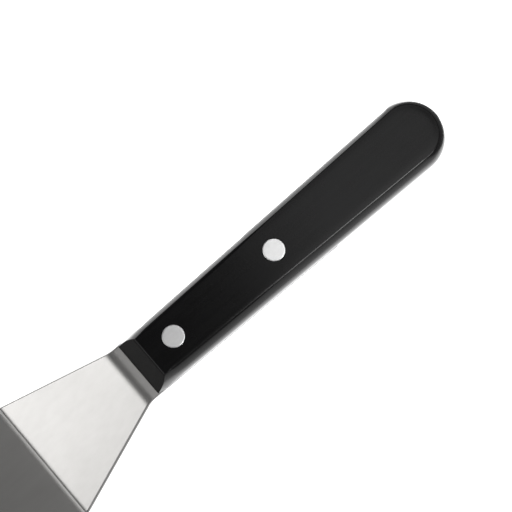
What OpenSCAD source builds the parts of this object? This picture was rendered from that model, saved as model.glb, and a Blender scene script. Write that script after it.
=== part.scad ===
// Wide offset spatula: one steel pressing, a slotted one-piece handle and two cutler's rivets.
// It lies on the underside of its blade. +X points from the blade to the butt of the handle.

/* [Handle] */
// Length from the front edge to the butt
handle_len = 115; // [100:1:130]
// Width at the front edge
handle_front_w = 18.7; // [17:0.1:20]
// Width across the round butt
handle_butt_w = 22; // [21:0.1:25]
// Thickness over the two flat faces
handle_t = 14.5; // [13:0.5:15]
// How far each flat face is set in from the side
face_inset = 2.6; // [2.3:0.1:3]
// Height of the straight band along the middle of each side
side_band = 2; // [2:0.1:3]
// Length of the slope at the front
slope_len = 5; // [3:0.5:7]
// Height of the front lip above the steel
lip_h = 0.3; // [0.2:0.1:1]
// How much narrower than the steel the front corners are, each side
corner_relief = 0.4; // [0.2:0.1:1]
// Length over which the front corners narrow
corner_len = 3; // [2:0.5:5]

/* [Steel] */
// Thickness of the sheet
steel_t = 1.5; // [1.2:0.1:2]
// Length of the tang inside the handle
tang_len = 67; // [60:1:75]
// From the handle to the first bend
neck_len = 2.9; // [2.5:0.1:5]
// Slope of the riser in degrees
rise_angle = 22.5; // [18:0.5:32]
// Length of the riser between the two bends
riser_len = 39; // [34:1:42]
// Width of the riser at the second bend
riser_w = 41.1; // [38:0.1:44]
// Middle radius of the first bend
first_bend_r = 8; // [3:0.5:8]
// Middle radius of the second bend
second_bend_r = 4; // [3:0.5:8]
// Concave radius where the neck widens into the riser
neck_fillet_r = 12; // [6:1:20]

/* [Blade] */
// Length of the blade from the second bend to its front edge
blade_len = 120; // [110:1:130]
// Full width of the blade
blade_w = 76; // [70:1:78]
// Rounding of the shoulders, where the sides become parallel
shoulder_r = 45; // [20:5:60]
// Rounding of the two front corners
front_corner_r = 7; // [3:1:15]
// Length of the ground bevel along the front edge
edge_len = 5; // [3:0.5:8]
// Thickness left at the front edge
edge_t = 0.5; // [0.3:0.1:0.8]

/* [Rivets] */
// Diameter of the heads
rivet_head_d = 6.7; // [6:0.1:8]
// Thickness of the heads
rivet_head_t = 1.8; // [1.2:0.1:2.5]
// Outside diameter of the tubular half
rivet_tube_d = 4.4; // [4:0.1:5]
// Diameter of the solid pin
rivet_pin_d = 2.8; // [2.4:0.1:3.2]
// From the front of the handle to the first rivet
first_rivet_x = 14; // [12:0.5:16]
// From the first rivet to the second
rivet_pitch = 38; // [34:0.5:40]

/* [Hidden] */
$fn = 96;

steel_colour = [0.72, 0.72, 0.71];
handle_colour = [0.06, 0.06, 0.065];
rivet_colour = [0.8, 0.8, 0.8];

eps = 1;               // how far cutting tools reach past what they cut
fit_gap = 0.02;        // slip clearance round the steel and the rivets
slot_end_gap = 0.6;    // free length behind the end of the tang
tube_end_gap = 0.9;    // between the mouth of the tube and the pin's head
pin_end_gap = 0.5;     // between the tip of the pin and the tube's floor
front_spare = 15;      // length of grip drawn past the front edge before it is cut off
tang_corner_r = 3;
arc_steps = 12;        // straight steps along each rounded corner or bend of the sheet

half_t = handle_t / 2;
half_steel = steel_t / 2;
front_half_w = handle_front_w / 2;
butt_r = handle_butt_w / 2;
butt_x = handle_len - butt_r;

// The sides widen towards the butt and meet its round end at a tangent.
side_angle = asin(butt_r / norm([butt_x, front_half_w])) - atan2(front_half_w, butt_x);

// Each side is a straight band with an arc above and below it, up to the flat faces.
arc_h = half_t - side_band / 2;
side_arc_r = (arc_h * arc_h + face_inset * face_inset) / (2 * face_inset);

// The bends stand where the middle lines of neighbouring flats cross.
bend1 = [-neck_len, 0];
bend2 = bend1 - riser_len * [cos(rise_angle), sin(rise_angle)];
tangent1 = first_bend_r * tan(rise_angle / 2);
tangent2 = second_bend_r * tan(rise_angle / 2);

// Half width that the sheet gains per length along the steel, up to its shoulders.
neck_half_w = front_half_w - neck_len * tan(side_angle);
flare = (riser_w / 2 - neck_half_w) / riser_len;
shoulder_x = bend2[0] - (blade_w - riser_w) / 2 / flare;
tip_x = bend2[0] - blade_len;

// The tool's frame: origin under the middle of the whole length, on the blade's underside.
overall_len = handle_len - tip_x;
handle_x = overall_len / 2 - handle_len;
handle_z = half_steel - bend2[1];

rivet_xs = [first_rivet_x, first_rivet_x + rivet_pitch];

// Places a piece drawn in the handle's frame, whose origin is in the middle of its front edge.
module in_tool() {
    translate([handle_x, 0, handle_z]) children();
}

// Extrudes an X-Z outline across the tool, centred on its middle plane.
module across(width) {
    rotate([90, 0, 0]) linear_extrude(width, center = true) children();
}

function along(angle) = [cos(angle), sin(angle)];

// Points along an arc from one angle to another.
function arc(centre, r, from, to) =
    [for (i = [0 : arc_steps]) centre + r * along(from + (to - from) * i / arc_steps)];

// The arc of radius r that rounds the corner v of an outline that runs from p through v to q.
function rounded(p, v, q, r) =
    let (
        a = (p - v) / norm(p - v),
        b = (q - v) / norm(q - v),
        half = acos(a * b) / 2,
        centre = v + r / sin(half) * (a + b) / norm(a + b),
        start = v + r / tan(half) * a - centre,
        from = atan2(start[1], start[0]),
        turn = sign(cross(v - p, q - v)) * (180 - 2 * half)
    ) arc(centre, r, from, from + turn);

// ---- Handle ----

// Half of the handle's cross-section, with its inner edge on the Y axis.
module half_section() {
    arc_x = butt_r - side_arc_r;
    difference() {
        translate([0, -half_t]) square([butt_r, handle_t]);
        for (side = [0, 1]) mirror([0, side]) difference() {
            translate([arc_x, side_band / 2]) square([side_arc_r + eps, half_t]);
            translate([arc_x, side_band / 2]) circle(side_arc_r);
        }
    }
}

// One tapering half of the grip, from the butt's centre forwards past the front edge.
module grip_half() {
    translate([butt_x, 0, 0]) rotate([0, 0, side_angle])
        rotate([90, 0, -90]) linear_extrude(butt_x + front_spare) mirror([1, 0]) half_section();
}

module butt() {
    translate([butt_x, 0, 0]) rotate([0, 0, -90 - side_angle])
        rotate_extrude(angle = 180 + 2 * side_angle) half_section();
}

// Everything in front of the slopes and the lip.
module front_cut() {
    lip_z = half_steel + lip_h;
    far_z = half_t + eps;
    far_x = slope_len * (far_z - lip_z) / (half_t - lip_z);
    start_x = -2 * front_spare;
    across(handle_butt_w + 2 * eps) polygon([
        [start_x, -far_z], [far_x, -far_z], [0, -lip_z], [0, lip_z], [far_x, far_z], [start_x, far_z]
    ]);
}

// The outside of one front corner, beyond a line that narrows the handle towards its front.
module corner_cut() {
    slope = tan(side_angle) + corner_relief / corner_len;
    outer = front_half_w + eps;
    linear_extrude(handle_t + 2 * eps, center = true) polygon([
        [-eps, outer], [-eps, front_half_w - corner_relief - eps * slope],
        [0, front_half_w - corner_relief],
        [corner_len, front_half_w + corner_len * tan(side_angle)], [corner_len, outer]
    ]);
}

module slot_cut() {
    slot_h = steel_t + 2 * fit_gap;
    translate([-eps, -butt_r - eps, -slot_h / 2])
        cube([tang_len + slot_end_gap + eps, 2 * butt_r + 2 * eps, slot_h]);
}

// Through hole and counterbores for one rivet.
module rivet_cut(x) {
    translate([x, 0, 0]) {
        cylinder(h = handle_t + 2 * eps, d = rivet_tube_d + 2 * fit_gap, center = true);
        for (side = [0, 1]) mirror([0, 0, side]) translate([0, 0, half_t - rivet_head_t - fit_gap])
            cylinder(h = rivet_head_t + eps, d = rivet_head_d + 2 * fit_gap);
    }
}

module handle() {
    color(handle_colour) in_tool() difference() {
        union() {
            butt();
            grip_half();
            mirror([0, 1, 0]) grip_half();
        }
        front_cut();
        for (side = [0, 1]) mirror([0, side, 0]) corner_cut();
        slot_cut();
        for (x = rivet_xs) rivet_cut(x);
    }
}

// ---- Steel pressing ----

// The sheet seen from the side: tang, first bend, riser, second bend and blade with its bevel.
function sheet_section() =
    let (
        centre1 = bend1 + [tangent1, -first_bend_r],
        centre2 = bend2 + [-tangent2, second_bend_r],
        blade_z = bend2[1]
    ) concat(
        [[tang_len, -half_steel], [tang_len, half_steel]],
        arc(centre1, first_bend_r + half_steel, 90, 90 + rise_angle),
        arc(centre2, second_bend_r - half_steel, 270 + rise_angle, 270),
        [[tip_x + edge_len, blade_z + half_steel], [tip_x, blade_z - half_steel + edge_t]],
        [[tip_x, blade_z - half_steel]],
        arc(centre2, second_bend_r + half_steel, 270, 270 + rise_angle),
        arc(centre1, first_bend_r - half_steel, 90 + rise_angle, 90)
    );

// The left half of the sheet's outline seen from above, from the tang to the front edge.
function half_outline() =
    let (
        rear = [tang_len, front_half_w + tang_len * tan(side_angle)],
        neck = [bend1[0], neck_half_w],
        knee = [bend2[0], riser_w / 2],
        shoulder = [shoulder_x, blade_w / 2],
        tip = [tip_x, blade_w / 2]
    ) concat(
        rounded([tang_len, 0], rear, neck, tang_corner_r),
        rounded(rear, neck, knee, neck_fillet_r),
        [knee],
        rounded(knee, shoulder, tip, shoulder_r),
        rounded(shoulder, tip, [tip_x, 0], front_corner_r)
    );

module sheet_outline() {
    left = half_outline();
    right = [for (i = [len(left) - 1 : -1 : 0]) [left[i][0], -left[i][1]]];
    polygon(concat(left, right));
}

module blade() {
    color(steel_colour) in_tool() difference() {
        intersection() {
            across(blade_w + 2 * eps) polygon(sheet_section());
            linear_extrude(4 * handle_t, center = true) sheet_outline();
        }
        for (x = rivet_xs) translate([x, 0, 0])
            cylinder(h = 2 * steel_t, d = rivet_tube_d + 2 * fit_gap, center = true);
    }
}

// ---- Rivets: a solid pin pressed into a tube, each with its own flush head ----

module rivet_pin(x) {
    floor_z = rivet_head_t - half_t;
    color(rivet_colour) in_tool() translate([x, 0, 0]) {
        translate([0, 0, half_t - rivet_head_t]) cylinder(h = rivet_head_t, d = rivet_head_d);
        translate([0, 0, floor_z + pin_end_gap])
            cylinder(h = half_t - rivet_head_t - floor_z - pin_end_gap, d = rivet_pin_d);
    }
}

module rivet_tube(x) {
    tube_len = handle_t - 2 * rivet_head_t - tube_end_gap;
    color(rivet_colour) in_tool() translate([x, 0, -half_t]) difference() {
        union() {
            cylinder(h = rivet_head_t, d = rivet_head_d);
            translate([0, 0, rivet_head_t]) cylinder(h = tube_len, d = rivet_tube_d);
        }
        translate([0, 0, rivet_head_t]) cylinder(h = tube_len + eps, d = rivet_pin_d + 2 * fit_gap);
    }
}

blade();
handle();
rivet_pin(rivet_xs[0]);  // front_rivet_pin
rivet_tube(rivet_xs[0]);  // front_rivet_tube
rivet_pin(rivet_xs[1]);  // rear_rivet_pin
rivet_tube(rivet_xs[1]);  // rear_rivet_tube
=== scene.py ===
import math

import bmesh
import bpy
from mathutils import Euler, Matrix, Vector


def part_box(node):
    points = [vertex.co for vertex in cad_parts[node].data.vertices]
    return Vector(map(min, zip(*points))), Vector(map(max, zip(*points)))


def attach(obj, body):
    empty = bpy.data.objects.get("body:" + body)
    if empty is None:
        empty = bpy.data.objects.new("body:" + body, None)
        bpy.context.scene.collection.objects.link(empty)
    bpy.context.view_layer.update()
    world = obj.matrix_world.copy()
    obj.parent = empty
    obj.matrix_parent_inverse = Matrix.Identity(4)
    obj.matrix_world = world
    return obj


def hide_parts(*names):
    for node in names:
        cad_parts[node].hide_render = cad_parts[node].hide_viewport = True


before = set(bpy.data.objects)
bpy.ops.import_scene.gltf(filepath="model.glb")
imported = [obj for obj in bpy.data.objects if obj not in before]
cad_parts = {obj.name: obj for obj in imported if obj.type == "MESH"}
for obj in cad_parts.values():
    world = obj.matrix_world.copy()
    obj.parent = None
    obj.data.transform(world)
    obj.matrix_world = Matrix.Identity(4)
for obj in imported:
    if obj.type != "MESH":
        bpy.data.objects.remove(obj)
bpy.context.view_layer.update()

# Offset spatula: a pressed steel blade, a black slotted handle and two cutler's rivets.
# Lengths are in millimetres in the handle's own frame, as in the CAD: x runs from the handle's front
# edge to its butt, and z = 0 is the middle of the tang. in_row() turns them into the frame's metres.

MM = 0.001

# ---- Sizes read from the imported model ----

HANDLE_LO, HANDLE_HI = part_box("handle")
BLADE_LO, BLADE_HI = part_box("blade")
ORIGIN = Vector((HANDLE_LO.x, 0, (HANDLE_LO.z + HANDLE_HI.z) / 2))
HANDLE_LEN = (HANDLE_HI.x - HANDLE_LO.x) / MM
BUTT_R = (HANDLE_HI.y - HANDLE_LO.y) / 2 / MM
HALF_T = (HANDLE_HI.z - HANDLE_LO.z) / 2 / MM
HALF_STEEL = (BLADE_HI.z - ORIGIN.z) / MM
BLADE_HALF_W = (BLADE_HI.y - BLADE_LO.y) / 2 / MM
TANG_LEN = (BLADE_HI.x - ORIGIN.x) / MM
TIP_X = (BLADE_LO.x - ORIGIN.x) / MM
RIVETS = ("front", "rear")

# ---- Sizes shared with the CAD ----

HANDLE_FRONT_HALF_W = 9.35
FACE_INSET = 2.6
HALF_BAND = 1
SLOPE_LEN = 5
LIP_H = 0.3
CORNER_RELIEF = 0.4
CORNER_LEN = 3
NECK_LEN = 2.9
RISE = math.radians(22.5)
RISER_LEN = 39
RISER_HALF_W = 20.55
NECK_FILLET_R = 12
SHOULDER_R = 45
FRONT_CORNER_R = 7
TANG_CORNER_R = 3
EDGE_LEN = 5
EDGE_T = 0.5
HEAD_R = 3.35
HEAD_T = 1.8
TUBE_R = 2.2
PIN_R = 1.4
FIT_GAP = 0.02
SLOT_END_GAP = 0.6
TUBE_END_GAP = 0.9
PIN_END_GAP = 0.5

# The sides run from the front corners and touch the butt's arc.
BUTT_X = HANDLE_LEN - BUTT_R
SIDE_ANGLE = math.asin(BUTT_R / math.hypot(BUTT_X, HANDLE_FRONT_HALF_W))
SIDE_ANGLE -= math.atan2(HANDLE_FRONT_HALF_W, BUTT_X)
ARC_H = HALF_T - HALF_BAND


def in_row(x, y, z):
    """A point of the handle's frame, in mm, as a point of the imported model's frame, in metres."""
    return ORIGIN + Vector((x, y, z)) * MM


def smooth(value, start, end):
    """0 before start, 1 after end and an S-curve between them."""
    t = min(1, max(0, (value - start) / (end - start)))
    return t * t * (3 - 2 * t)


def mix(a, b, share):
    return a + (b - a) * share


# ---- Mesh helpers ----

def new_piece(name, bm, material):
    """Turns the finished bmesh into an object with that material."""
    bmesh.ops.recalc_face_normals(bm, faces=bm.faces)
    mesh = bpy.data.meshes.new(name)
    bm.to_mesh(mesh)
    bm.free()
    piece = bpy.data.objects.new(name, mesh)
    bpy.context.scene.collection.objects.link(piece)
    mesh.materials.append(material)
    return piece


def carve(piece, cutters):
    """Subtracts the cutters from the piece for good, and removes them."""
    for cutter in cutters:
        cut = piece.modifiers.new("cut", "BOOLEAN")
        cut.operation = "DIFFERENCE"
        cut.solver = "EXACT"
        cut.object = cutter
    bpy.context.view_layer.update()
    carved = bpy.data.meshes.new_from_object(piece.evaluated_get(bpy.context.evaluated_depsgraph_get()))
    piece.modifiers.clear()
    piece.data = carved
    for cutter in cutters:
        bpy.data.objects.remove(cutter)


def shade(piece, sharp_degrees):
    """Smooth shading that keeps real edges sharp and large faces flat."""
    piece.data.shade_smooth()
    piece.data.set_sharp_from_angle(angle=math.radians(sharp_degrees))
    weighted = piece.modifiers.new("flat_faces", "WEIGHTED_NORMAL")
    weighted.keep_sharp = True


def lathe(bm, x, profile, steps=96):
    """Turns a closed run of (radius, z) points about the upright axis through x."""
    rings = []
    for r, z in profile:
        if r == 0:
            rings.append([bm.verts.new(in_row(x, 0, z))])
            continue
        turns = [2 * math.pi * k / steps for k in range(steps)]
        rings.append([bm.verts.new(in_row(x + r * math.cos(a), r * math.sin(a), z)) for a in turns])
    for low, high in zip(rings, rings[1:]):
        for k in range(steps):
            n = (k + 1) % steps
            corners = [low[k % len(low)], low[n % len(low)], high[n % len(high)], high[k % len(high)]]
            bm.faces.new(list(dict.fromkeys(corners)))


def box_cutter(lo, hi):
    bm = bmesh.new()
    bmesh.ops.create_cube(bm, size=1)
    lo, hi = in_row(*lo), in_row(*hi)
    for v in bm.verts:
        v.co = Vector(mix(lo[i], hi[i], v.co[i] + 0.5) for i in range(3))
    return new_piece("cutter", bm, None)


def turned_cutter(x, profile):
    bm = bmesh.new()
    lathe(bm, x, profile)
    return new_piece("cutter", bm, None)


# ---- Steel pressing ----
# The blank is drawn flat, with s running along the steel from the handle's front edge to the blade's
# front edge, and then bent.

ARC_STEPS = 14
NECK_HALF_W = HANDLE_FRONT_HALF_W - NECK_LEN * math.tan(SIDE_ANGLE)
KNEE_S = NECK_LEN + RISER_LEN
FLARE = (RISER_HALF_W - NECK_HALF_W) / RISER_LEN
SHOULDER_S = KNEE_S + (BLADE_HALF_W - RISER_HALF_W) / FLARE
TIP_S = KNEE_S - TIP_X - NECK_LEN - RISER_LEN * math.cos(RISE)
BLADE_Z = -RISER_LEN * math.sin(RISE)

DEBURR_R = 0.43
DEBURR_STEPS = 4
BORE_OVERCUT = 2
BEVEL_BLEND = 0.15                      # to each side of the line where the front bevel starts
FIRST_BEND_LEN = 4.3
FIRST_BEND_S = NECK_LEN + 0.7
SECOND_BEND_LEN = 2.4
SECOND_BEND_END = KNEE_S + 0.34
BEND_STEPS = 24
WALK_STEP = 0.05

# A flat strip inside a rounded rim, which keeps the rim's shading to itself.
FLAT_MARGIN = 0.2

# How far past level the sheet is turned where the second bend meets the blade, and over what length.
OVERSHOOT = math.radians(6)
OVERSHOOT_LEN = 1.4


def rounded(p, v, q, r):
    """The arc of radius r that rounds the corner v of an outline that runs from p through v to q."""
    p, v, q = Vector(p), Vector(v), Vector(q)
    a, b = (p - v).normalized(), (q - v).normalized()
    half = a.angle(b) / 2
    centre = v + (a + b).normalized() * (r / math.sin(half))
    start = v + a * (r / math.tan(half)) - centre
    turn = math.copysign(math.pi - 2 * half, (v - p).cross(q - v))
    angle = math.atan2(start.y, start.x)
    steps = [angle + turn * k / ARC_STEPS for k in range(ARC_STEPS + 1)]
    return [centre + r * Vector((math.cos(step), math.sin(step))) for step in steps]


def blank_outline():
    """The flat blank, from the tang along the right side to the front edge and back along the left."""
    rear = (-TANG_LEN, -HANDLE_FRONT_HALF_W - TANG_LEN * math.tan(SIDE_ANGLE))
    neck = (NECK_LEN, -NECK_HALF_W)
    knee = (KNEE_S, -RISER_HALF_W)
    shoulder = (SHOULDER_S, -BLADE_HALF_W)
    tip = (TIP_S, -BLADE_HALF_W)
    right = rounded((-TANG_LEN, 0), rear, neck, TANG_CORNER_R)
    right += rounded(rear, neck, knee, NECK_FILLET_R)
    right += [Vector(knee)]
    right += rounded(knee, shoulder, tip, SHOULDER_R)
    right += rounded(shoulder, tip, (TIP_S, 0), FRONT_CORNER_R)
    return right + [Vector((p.x, -p.y)) for p in reversed(right)]


def slope_at(s):
    """Downward slope of the sheet: none in the tang, full on the riser, none on the blade."""
    first = smooth(s, FIRST_BEND_S - FIRST_BEND_LEN / 2, FIRST_BEND_S + FIRST_BEND_LEN / 2)
    end = SECOND_BEND_END
    second = min(1, max(0, 1 + (s - end) / SECOND_BEND_LEN)) ** 2
    turn = smooth(s, end - OVERSHOOT_LEN / 3, end) - smooth(s, end, end + OVERSHOOT_LEN)
    return RISE * (first - second) - OVERSHOOT * turn


def walk_sheet():
    """Points (x, z) of the middle surface every WALK_STEP along the steel, fitted to the CAD's ends."""
    x, z, points = 0, 0, [(0, 0)]
    for k in range(math.ceil(TIP_S / WALK_STEP) + 1):
        slope = slope_at((k + 0.5) * WALK_STEP)
        x -= WALK_STEP * math.cos(slope)
        z -= WALK_STEP * math.sin(slope)
        points.append((x, z))
    end = TIP_S / WALK_STEP
    stretch = TIP_X / mix(points[int(end)][0], points[int(end) + 1][0], end - int(end))
    drop = BLADE_Z / min(z for x, z in points)
    return [(x * stretch, z * drop) for x, z in points]


MIDDLE = walk_sheet()


def sheet_point(s, y, w):
    """A point w above the middle surface, after the bevel at the front edge and the bends."""
    bevel = min(1, (TIP_S - s) / EDGE_LEN)
    thickness = mix(EDGE_T, 2 * HALF_STEEL, bevel)
    w = (w + HALF_STEEL) * thickness / (2 * HALF_STEEL) - HALF_STEEL
    if s <= 0:
        return in_row(-s, y, w)
    step = int(s / WALK_STEP)
    share = s / WALK_STEP - step
    x, z = (mix(MIDDLE[step][i], MIDDLE[step + 1][i], share) for i in (0, 1))
    slope = slope_at(s)
    return in_row(x - w * math.sin(slope), y, z + w * math.cos(slope))


def blade_piece(material):
    """A flat plate with deburred edges, cut into strips across the bends and then bent."""
    outline = blank_outline()
    count = len(outline)
    quarter = [math.pi / 2 * k / DEBURR_STEPS for k in range(DEBURR_STEPS + 1)]
    upper = [(DEBURR_R * (1 - math.sin(a)), HALF_STEEL - DEBURR_R * (1 - math.cos(a))) for a in quarter]
    upper = [(DEBURR_R + FLAT_MARGIN, HALF_STEEL)] + upper
    profile = upper + [(inset, -w) for inset, w in reversed(upper)]
    bm = bmesh.new()
    rings = []
    for inset, w in profile:
        ring = []
        for k, point in enumerate(outline):
            along = (outline[(k + 1) % count] - outline[k - 1]).normalized()
            ring.append(bm.verts.new((point.x - along.y * inset, point.y + along.x * inset, w)))
        rings.append(ring)
    for top, low in zip(rings, rings[1:]):
        for k in range(count):
            n = (k + 1) % count
            bm.faces.new((top[k], low[k], low[n], top[n]))
    bm.faces.new(rings[0])
    bm.faces.new(reversed(rings[-1]))
    cuts = [TIP_S - EDGE_LEN - BEVEL_BLEND, TIP_S - EDGE_LEN + BEVEL_BLEND]
    bends = (
        (FIRST_BEND_S, FIRST_BEND_LEN),
        (SECOND_BEND_END + (OVERSHOOT_LEN - SECOND_BEND_LEN) / 2, SECOND_BEND_LEN + OVERSHOOT_LEN),
    )
    for centre, length in bends:
        cuts += [centre + length * (k / BEND_STEPS - 0.5) for k in range(BEND_STEPS + 1)]
    for s in cuts:
        everything = bm.verts[:] + bm.edges[:] + bm.faces[:]
        bmesh.ops.bisect_plane(bm, geom=everything, dist=0.0001, plane_co=(s, 0, 0), plane_no=(1, 0, 0))
    for v in bm.verts:
        v.co = sheet_point(*v.co)
    blade = new_piece("spatula_blade", bm, material)
    bore_r = TUBE_R + FIT_GAP
    bore = [(0, -BORE_OVERCUT), (bore_r, -BORE_OVERCUT), (bore_r, BORE_OVERCUT), (0, BORE_OVERCUT)]
    carve(blade, [turned_cutter(rivet_x(which), bore) for which in RIVETS])
    shade(blade, sharp_degrees=35)
    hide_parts("blade")
    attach(blade, "root")
    return blade


# ---- Handle ----

MOUTH_CHAMFER = 0.1
SLOT_OVERCUT = 1

# Rounding between the slope and the upper face, to each side of their corner.
BROW_LEN = 0.45

# The crease along the upper face is soft in front and turns crisp near the rear rivet.
SLOPE_CREASE_R = 0.25
SOFT_CREASE_R = 1.6
CRISP_CREASE_R = 0.35
SOFT_TO, CRISP_FROM = 35, 62
CREASE_MAX = 0.9                        # of the height that is left above the middle band

# How a crisp crease's rounding is shared out among its strips.
CREASE_CHAMFER = (0, 0.04, 0.08, 0.12, 0.88, 0.92, 0.96, 1)

# Where the crease is crisp, the face rolls off a little towards it.
ROLL_W = 2.8
ROLL_DROP = 0.08
ROLL_STEPS = 4

# How much more than the CAD's the face is set in at the front, and less at the butt.
INSET_TAPER = 0.2

# How much the sides are sanded back at mid-height near the front, and where that fades out.
FLANK_RELIEF = 0.35
FLANK_FULL_TO, FLANK_NONE_FROM = 3, 12


def rivet_x(which):
    lo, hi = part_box(which + "_rivet_pin")
    return ((lo.x + hi.x) / 2 - ORIGIN.x) / MM


def face_height(x):
    """Height of the handle's upper face, with its slope down to the front lip."""
    lip_z = HALF_STEEL + LIP_H
    rise = (HALF_T - lip_z) / SLOPE_LEN
    if abs(x - SLOPE_LEN) < BROW_LEN:
        return HALF_T - rise * (SLOPE_LEN + BROW_LEN - x) ** 2 / (4 * BROW_LEN)
    return min(HALF_T, lip_z + rise * x)


def side_profile(x):
    """(depth, z) points up the side: the band, the arc above it, the crease and the face's roll-off."""
    crisp = smooth(x, SOFT_TO, CRISP_FROM)
    drop = ROLL_DROP * crisp
    h = face_height(x) - drop - HALF_BAND
    soft = mix(SLOPE_CREASE_R, SOFT_CREASE_R, smooth(x, SLOPE_LEN, SLOPE_LEN + 4))
    r = min(mix(soft, CRISP_CREASE_R, crisp), CREASE_MAX * h)
    inset = FACE_INSET + INSET_TAPER * (1 - 2 * x / BUTT_X)
    arc_r = (ARC_H ** 2 + inset ** 2) / (2 * inset)
    reach = math.sqrt((arc_r - r) ** 2 - (h - r) ** 2)
    meet = math.atan2(h - r, reach)
    points = []
    for k in range(11):
        a = meet * k / 10
        points.append((arc_r * (1 - math.cos(a)), HALF_BAND + arc_r * math.sin(a)))
    steps = len(CREASE_CHAMFER) - 1
    for k in range(1, steps + 1):
        a = mix(meet, math.pi / 2, mix(k / steps, CREASE_CHAMFER[k], crisp))
        points.append((arc_r - reach - r * math.cos(a), HALF_BAND + h - r + r * math.sin(a)))
    edge = points[-1][0]
    roll_w = ROLL_W * mix(0.5, 1, crisp)
    for k in range(1, ROLL_STEPS + 1):
        share = k / ROLL_STEPS
        points.append((edge + roll_w * share, HALF_BAND + h + drop * share * (2 - share)))
    return [(depth + front_relief(x, depth, z), z) for depth, z in points]


def front_relief(x, depth, z):
    """How much further in the side is near the front, where its corners and its flanks are sanded."""
    corner = CORNER_RELIEF * max(0, 1 - x / CORNER_LEN) * max(0, 1 - depth / FACE_INSET)
    up = (z - HALF_BAND) / ARC_H
    return corner + FLANK_RELIEF * (1 - smooth(x, FLANK_FULL_TO, FLANK_NONE_FROM)) * 4 * up * (1 - up)


def handle_stations():
    """(x for the profile, point, outward direction) round the left half, from the front to the butt.
    They lie close together over the slope and its rounded corner."""
    fine = [0, 0.15] + [0.4 * k for k in range(1, 12)]
    fine += [SLOPE_LEN + BROW_LEN * (k / 4 - 1) for k in range(9)] + [6, 6.5, 7, 8, 9, 10, 12]
    last = BUTT_X - BUTT_R * math.sin(SIDE_ANGLE)
    coarse = [mix(fine[-1], last, k / 30) for k in range(1, 30)]
    for x in fine + coarse:
        yield x, Vector((x, HANDLE_FRONT_HALF_W + x * math.tan(SIDE_ANGLE))), Vector((0, 1))
    for k in range(41):
        a = mix(math.pi / 2 + SIDE_ANGLE, 0, k / 40)
        out = Vector((math.cos(a), math.sin(a)))
        yield BUTT_X, Vector((BUTT_X, 0)) + out * BUTT_R, out


def handle_piece(material):
    """Hoops round the grip, one for each station, that close in a single seam at the butt."""
    bm = bmesh.new()
    hoops = []
    for x, point, out in handle_stations():
        upper = side_profile(x)
        profile = [(depth, -z) for depth, z in reversed(upper)] + upper
        at_butt = abs(point.y) < 0.001
        hoop = []
        for side in (1, -1):
            if at_butt and side < 0:
                hoop.append(hoop[0])
                continue
            places = [(point - out * depth, z) for depth, z in profile]
            hoop.append([bm.verts.new(in_row(p.x, side * p.y, z)) for p, z in places])
        hoops.append(hoop)
    for near, far in zip(hoops, hoops[1:]):
        for side in (0, 1):
            for k in range(len(near[side]) - 1):
                bm.faces.new((near[side][k], far[side][k], far[side][k + 1], near[side][k + 1]))
        for end in (0, -1):
            corners = [near[0][end], far[0][end], far[1][end], near[1][end]]
            bm.faces.new(list(dict.fromkeys(corners)))
    bm.faces.new(hoops[0][0] + hoops[0][1][::-1])
    handle = new_piece("spatula_handle", bm, material)
    slot_half = HALF_STEEL + FIT_GAP
    wide = BUTT_R + SLOT_OVERCUT
    slot = box_cutter((-SLOT_OVERCUT, -wide, -slot_half), (TANG_LEN + SLOT_END_GAP, wide, slot_half))
    carve(handle, [slot] + [turned_cutter(rivet_x(which), rivet_hole()) for which in RIVETS])
    shade(handle, sharp_degrees=28)
    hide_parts("handle")
    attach(handle, "root")
    return handle


def rivet_hole():
    """Through bore and a counterbore at each end, with a small chamfer at the mouths."""
    bore_r, head_r = TUBE_R + FIT_GAP, HEAD_R + FIT_GAP
    floor_z = HALF_T - HEAD_T - FIT_GAP
    far_z = HALF_T + SLOT_OVERCUT
    mouth_z = HALF_T - MOUTH_CHAMFER
    upper = [(bore_r, floor_z), (head_r, floor_z), (head_r, mouth_z)]
    upper += [(head_r + far_z - mouth_z, far_z), (0, far_z)]
    return [(r, -z) for r, z in reversed(upper)] + upper


# ---- Rivets ----

HEAD_RIM_R = 0.22
HEAD_RIM_STEPS = 6
RIVET_LEAD = 0.25


def upper_head(under_z):
    """An upper head from its underside, round its rim and across its flat top."""
    turns = [math.pi / 2 * k / HEAD_RIM_STEPS for k in range(HEAD_RIM_STEPS + 1)]
    flat_r = HEAD_R - HEAD_RIM_R
    rim = [
        (HEAD_R - HEAD_RIM_R * (1 - math.cos(a)), HALF_T - HEAD_RIM_R * (1 - math.sin(a)))
        for a in turns
    ]
    return [(HEAD_R, under_z)] + rim + [(flat_r - FLAT_MARGIN, HALF_T), (0, HALF_T)]


def rivet_pieces(which, material):
    """The solid pin with the upper head, and the tube with the lower head that it is pressed into."""
    under_z = HALF_T - HEAD_T
    head = upper_head(under_z)
    tip_z = -under_z + PIN_END_GAP
    shank = [(0, tip_z), (PIN_R - RIVET_LEAD, tip_z), (PIN_R, tip_z + RIVET_LEAD), (PIN_R, under_z)]
    pin = shank + head
    mouth_z = under_z - TUBE_END_GAP
    bore_r = PIN_R + FIT_GAP
    tube = [(r, -z) for r, z in reversed(head)]
    tube += [(TUBE_R, -under_z), (TUBE_R, mouth_z - RIVET_LEAD), (TUBE_R - RIVET_LEAD, mouth_z)]
    tube += [(bore_r, mouth_z), (bore_r, -under_z), (0, -under_z)]
    pieces = []
    for part, profile in (("pin", pin), ("tube", tube)):
        bm = bmesh.new()
        lathe(bm, rivet_x(which), profile)
        piece = new_piece(f"{which}_rivet_{part}_turned", bm, material)
        shade(piece, sharp_degrees=35)
        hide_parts(f"{which}_rivet_{part}")
        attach(piece, "root")
        pieces.append(piece)
    return pieces


# ---- Materials ----

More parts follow.
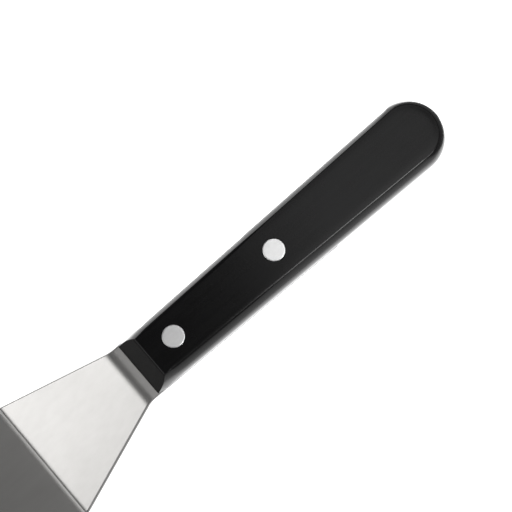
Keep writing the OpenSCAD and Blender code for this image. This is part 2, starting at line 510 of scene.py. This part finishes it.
class Nodes:
    """A small builder for one material's node tree."""

    def __init__(self, name):
        self.material = bpy.data.materials.new(name)
        self.material.use_nodes = True
        self.tree = self.material.node_tree
        self.shader = self.tree.nodes["Principled BSDF"]
        self.place = self.add("ShaderNodeTexCoord").outputs["Object"]

    def add(self, kind, **settings):
        node = self.tree.nodes.new(kind)
        for key, value in settings.items():
            if key in node.bl_rna.properties:
                setattr(node, key, value)
            else:
                node.inputs[key.replace("_", " ")].default_value = value
        return node

    def link(self, source, target):
        self.tree.links.new(source, target)

    def noise(self, per_metre, detail=3, roughness=0.5):
        """Noise with that many features per metre along X, Y and Z."""
        mapping = self.add("ShaderNodeMapping", Scale=per_metre)
        self.link(self.place, mapping.inputs["Vector"])
        texture = self.add("ShaderNodeTexNoise", Scale=1, Detail=detail, Roughness=roughness)
        self.link(mapping.outputs["Vector"], texture.inputs["Vector"])
        return texture.outputs["Fac"]

    def spread(self, value, low, high, start=0.3, end=0.7):
        """Maps start..end of a value to low..high."""
        node = self.add("ShaderNodeMapRange", From_Min=start, From_Max=end, To_Min=low, To_Max=high)
        self.link(value, node.inputs["Value"])
        return node.outputs["Result"]

    def blend(self, share, dark, light):
        node = self.add("ShaderNodeMix", data_type="RGBA")
        node.inputs[6].default_value = (*dark, 1)
        node.inputs[7].default_value = (*light, 1)
        self.link(share, node.inputs["Factor"])
        return node.outputs[2]

    def bump(self, heights):
        """Stacks (height, depth in metres) pairs into one bumped normal."""
        normal = None
        for height, depth in heights:
            node = self.add("ShaderNodeBump", Strength=1, Distance=depth)
            self.link(height, node.inputs["Height"])
            if normal:
                self.link(normal, node.inputs["Normal"])
            normal = node.outputs["Normal"]
        return normal

    def surface(self, colour, roughness, normal, **constants):
        self.link(colour, self.shader.inputs["Base Color"])
        self.link(roughness, self.shader.inputs["Roughness"])
        self.link(normal, self.shader.inputs["Normal"])
        for key, value in constants.items():
            self.shader.inputs[key.replace("_", " ")].default_value = value
        return self.material


def brushed_steel():
    """Stainless sheet: a fine grain along the tool, faint streaks and slight cloudiness."""
    n = Nodes("blade_steel")
    grain = n.noise(per_metre=(500, 3500, 3500))
    streaks = n.noise(per_metre=(60, 500, 500), detail=4)
    clouds = n.noise(per_metre=(60, 60, 60), detail=2)
    colour = n.blend(n.spread(streaks, 0, 1), dark=(0.62, 0.61, 0.595), light=(0.65, 0.64, 0.625))
    roughness = n.spread(clouds, low=0.285, high=0.30)
    normal = n.bump([(grain, 2.6e-6), (streaks, 6e-7)])
    return n.surface(colour, roughness, normal, Metallic=1)


def black_plastic():
    """Black acetal, sanded lengthwise and polished to a low sheen."""
    n = Nodes("handle_plastic")
    lines = n.noise(per_metre=(25, 2200, 2200))
    pores = n.noise(per_metre=(1500, 1500, 1500), detail=2)
    clouds = n.noise(per_metre=(90, 180, 180), detail=2)
    colour = n.blend(n.spread(clouds, 0, 1), dark=(0.004, 0.004, 0.0042), light=(0.006, 0.006, 0.0063))
    roughness = n.spread(lines, low=0.16, high=0.20)
    normal = n.bump([(lines, 4e-6), (pores, 3e-6)])
    return n.surface(colour, roughness, normal, Specular_IOR_Level=0.18)


def satin_rivet():
    """Light metal, sanded flush with the handle."""
    n = Nodes("rivet_metal")
    lines = n.noise(per_metre=(200, 4500, 4500))
    clouds = n.noise(per_metre=(500, 900, 900), detail=2)
    colour = n.blend(n.spread(clouds, 0, 1), dark=(0.90, 0.90, 0.90), light=(0.96, 0.96, 0.96))
    roughness = n.spread(lines, low=0.30, high=0.36)
    normal = n.bump([(lines, 1e-6)])
    return n.surface(colour, roughness, normal, Metallic=1)


FLOOR_GLOW = 0.95


def glowing_floor():
    """White acrylic, lit from below, and clear from its back so that the underside can be seen."""
    n = Nodes("pale_floor")
    shader = n.shader.inputs
    shader["Base Color"].default_value = (0.8, 0.8, 0.8, 1)
    shader["Roughness"].default_value = 0.9
    shader["Specular IOR Level"].default_value = 0
    shader["Emission Color"].default_value = (1, 1, 1, 1)
    shader["Emission Strength"].default_value = FLOOR_GLOW
    clear = n.add("ShaderNodeBsdfTransparent")
    either = n.add("ShaderNodeMixShader")
    n.link(n.add("ShaderNodeNewGeometry").outputs["Backfacing"], either.inputs[0])
    n.link(n.shader.outputs[0], either.inputs[1])
    n.link(clear.outputs[0], either.inputs[2])
    n.link(either.outputs[0], n.tree.nodes["Material Output"].inputs["Surface"])
    return n.material


# ---- Floor, light and camera ----
# The lights' places are in metres from the middle of the handle's front edge.

FLOOR_HALF = 4
FLOOR_Z = -0.00005
UNDER = FLOOR_Z - ORIGIN.z
BUTT = HANDLE_LEN * MM

# The photo's camera: a long lens almost straight above the handle, turned so that the tool lies
# across the picture.
LENS = 108.3
CAMERA_PLACE = (12.26, -57.2, 444.37)       # mm in the row's frame
CAMERA_TURN = (7.714, -4.496, -40.664)      # degrees about x, y and z, applied in the order z, y, x

SKY_TOP = 0.095
SKY_LOW = 0.3
SKY_BELOW = 0.28
SKY_TOP_FROM, SKY_LOW_TO = 0.9, 0.4     # sines of the heights that the gradient runs between

# (name, one corner, the other corner, radiance) of each level panel.
PANEL_HEIGHT = 1.5
GRIP_PANELS = (
    ("overhead_softbox", (0.17, 0.04), (0.57, 0.42), 1.7),
    ("overhead_right_softbox", (0.17, -1.1), (0.57, 0.04), 3),
    ("key_strip", (0.193, -1.7), (0.9, -1.1), 15),
)
BLADE_PANEL = ("blade_overhead", (0.085, -1.1), (0.57, 0.42), 1.35)

UNDER_PANEL = ("blade_glow", (-1.2, -1.2), (0.12, 1.2), 0.25)

# The over-lit white backdrop as it shows in the polished sides of the handle. It is strongest close to
# the handle and dims towards both ends on the left.
BACKDROP_GAP = 0.001                    # below the other panel, so that the two never coincide
FAR = 1.2
FRONT, TIP, WAIST, REAR = -0.03, 0.007, 0.05, BUTT - 0.005     # where the panels start and end
BACKDROP_PANELS = (
    ("right_glow_near", (FRONT, -0.04), (BUTT + 0.015, 0), 2.9),
    ("right_glow_far", (FRONT, -FAR), (BUTT + 0.015, -0.04), 1.3),
    ("left_glow_near_tip", (FRONT, 0), (TIP, 0.03), 3.5),
    ("left_glow_far_tip", (FRONT, 0.03), (TIP, FAR), 2.2),
    ("left_glow_near_front", (TIP, 0), (WAIST, 0.03), 10),
    ("left_glow_far_front", (TIP, 0.03), (WAIST, FAR), 3.8),
    ("left_glow_near_rear", (WAIST, 0), (REAR, 0.03), 7),
    ("left_glow_far_rear", (WAIST, 0.03), (REAR, FAR), 2.7),
    ("left_glow_near_butt", (REAR, 0), (BUTT + 0.01, 0.03), 2.5),
    ("left_glow_far_butt", (REAR, 0.03), (BUTT + 0.01, FAR), 1.2),
)


def make_floor():
    bm = bmesh.new()
    bmesh.ops.create_grid(bm, size=FLOOR_HALF)
    floor = new_piece("floor", bm, glowing_floor())
    floor.location.z = FLOOR_Z
    floor.visible_glossy = False
    return floor


def area_light(name, place, out, width, depth, radiance):
    """A panel at place that shines along -out, width by depth metres."""
    light = bpy.data.lights.new(name, "AREA")
    light.shape = "RECTANGLE"
    light.size = width
    light.size_y = depth
    light.energy = radiance * math.pi * width * depth
    panel = bpy.data.objects.new(name, light)
    bpy.context.scene.collection.objects.link(panel)
    panel.location = ORIGIN + Vector(place)
    panel.rotation_mode = "QUATERNION"
    panel.rotation_quaternion = Vector(out).to_track_quat("Z", "Y")
    panel.visible_camera = False
    return panel


def level_light(panel, height):
    """A level panel at that height. One below the tool shines up."""
    name, lo, hi, radiance = panel
    size = (hi[0] - lo[0], hi[1] - lo[1])
    middle = ((hi[0] + lo[0]) / 2, (hi[1] + lo[1]) / 2, height)
    return area_light(name, middle, (0, 0, math.copysign(1, height)), *size, radiance)


def light_only(panel, pieces):
    """Keeps a panel's light, and its reflection, to those pieces."""
    lit = bpy.data.collections.new(panel.name + "_lights")
    for piece in pieces:
        lit.objects.link(piece)
    panel.light_linking.receiver_collection = lit


def make_lights(blade, handle, rivets, floor):
    """A softbox for everything, and level panels. Those for the dark handle are too bright for the
    steel, so the blade has a dimmer one of its own."""
    area_light(
        "left_softbox", (-1.23, 0.74, 0.86), (-0.82, 0, 0.57), width=1.4, depth=1.0, radiance=1.5
    )
    for panel in GRIP_PANELS:
        light_only(level_light(panel, PANEL_HEIGHT), [handle, floor] + rivets)
    light_only(level_light(BLADE_PANEL, PANEL_HEIGHT), [blade])
    level_light(UNDER_PANEL, UNDER)
    for panel in BACKDROP_PANELS:
        light_only(level_light(panel, UNDER - BACKDROP_GAP), [handle])


def make_world():
    """White where it is seen directly. In reflections it is darkest overhead and paler all round."""
    world = bpy.data.worlds.new("studio")
    world.use_nodes = True
    nodes, links = world.node_tree.nodes, world.node_tree.links
    up = nodes.new("ShaderNodeSeparateXYZ")
    links.new(nodes.new("ShaderNodeTexCoord").outputs["Generated"], up.inputs[0])
    gradient = nodes.new("ShaderNodeMapRange")
    gradient.inputs["From Min"].default_value = SKY_TOP_FROM
    gradient.inputs["From Max"].default_value = SKY_LOW_TO
    gradient.inputs["To Min"].default_value = SKY_TOP
    gradient.inputs["To Max"].default_value = SKY_LOW
    links.new(up.outputs["Z"], gradient.inputs["Value"])
    above = nodes.new("ShaderNodeMath")
    above.operation = "GREATER_THAN"
    above.inputs[1].default_value = 0
    links.new(up.outputs["Z"], above.inputs[0])
    reflected = nodes.new("ShaderNodeMix")
    reflected.inputs["A"].default_value = SKY_BELOW
    links.new(above.outputs[0], reflected.inputs["Factor"])
    links.new(gradient.outputs["Result"], reflected.inputs["B"])
    seen = nodes.new("ShaderNodeMix")
    seen.inputs["B"].default_value = 1
    links.new(nodes.new("ShaderNodeLightPath").outputs["Is Camera Ray"], seen.inputs["Factor"])
    links.new(reflected.outputs[0], seen.inputs["A"])
    background = nodes["Background"]
    links.new(seen.outputs[0], background.inputs["Strength"])
    background.inputs["Color"].default_value = (1, 1, 1, 1)
    bpy.context.scene.world = world


def make_camera():
    data = bpy.data.cameras.new("camera")
    data.sensor_width = 36
    data.lens = LENS
    data.clip_start = 0.01
    data.clip_end = 20
    camera = bpy.data.objects.new("camera", data)
    bpy.context.scene.collection.objects.link(camera)
    camera.location = in_row(*CAMERA_PLACE)
    camera.rotation_mode = "ZYX"
    camera.rotation_euler = Euler([math.radians(a) for a in CAMERA_TURN], "ZYX")
    bpy.context.scene.camera = camera


make_camera()
blade = blade_piece(brushed_steel())
handle = handle_piece(black_plastic())
rivet_metal = satin_rivet()
rivets = [piece for which in RIVETS for piece in rivet_pieces(which, rivet_metal)]
floor = make_floor()
make_world()
make_lights(blade, handle, rivets, floor)
bpy.context.scene.view_settings.view_transform = "Standard"
